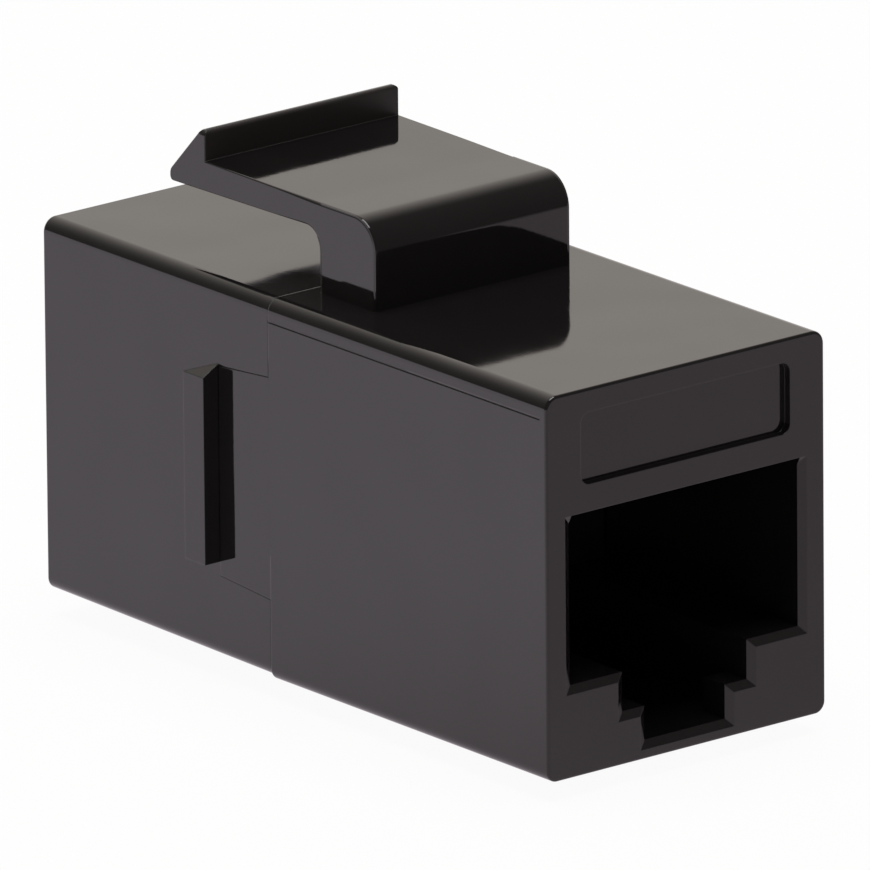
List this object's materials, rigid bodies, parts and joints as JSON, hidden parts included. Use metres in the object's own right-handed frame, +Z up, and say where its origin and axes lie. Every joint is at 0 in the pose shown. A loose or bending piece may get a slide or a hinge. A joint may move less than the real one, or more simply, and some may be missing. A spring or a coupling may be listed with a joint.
{
  "type": "keystone jack",
  "caption": "Inline keystone jack: two joined shells with a modular plug port at each end, sprung contacts on a circuit board inside and a snap latch on top.",
  "frame": {"origin": "under the middle of the jack, at the level of its lowest point, the underside of the fixed lip", "axes": "+Y points out of the nose that goes into the panel, +Z is up through the latch, +X runs across"},
  "size_m": [0.016, 0.0326, 0.0222],
  "materials": {
    "shell_plastic": "glossy moulded black plastic",
    "block_plastic": "satin moulded black plastic",
    "board_laminate": "green solder mask on glass laminate",
    "contact_gold": "gold-plated spring bronze"
  },
  "bodies": {
    "housing": {"body_shell": "shell_plastic", "nose_shell": "shell_plastic", "circuit_board": "board_laminate", "body_contact_block": "block_plastic", "nose_contact_block": "block_plastic", "body_contact_1": "contact_gold", "body_contact_2": "contact_gold", "body_contact_3": "contact_gold", "body_contact_4": "contact_gold", "body_contact_5": "contact_gold", "body_contact_6": "contact_gold", "body_contact_7": "contact_gold", "body_contact_8": "contact_gold", "nose_contact_1": "contact_gold", "nose_contact_2": "contact_gold", "nose_contact_3": "contact_gold", "nose_contact_4": "contact_gold", "nose_contact_5": "contact_gold", "nose_contact_6": "contact_gold", "nose_contact_7": "contact_gold", "nose_contact_8": "contact_gold"},
    "latch": {"latch_arm": "shell_plastic"}
  },
  "joints": [
    {"name": "latch_flex", "type": "hinge", "parent": "housing", "child": "latch", "pos_m": [0, 0.001, 0.0201], "axis": [1, 0, 0], "range_deg": [-13, 0], "stiffness_Nm_per_rad": 0.5}
  ]
}
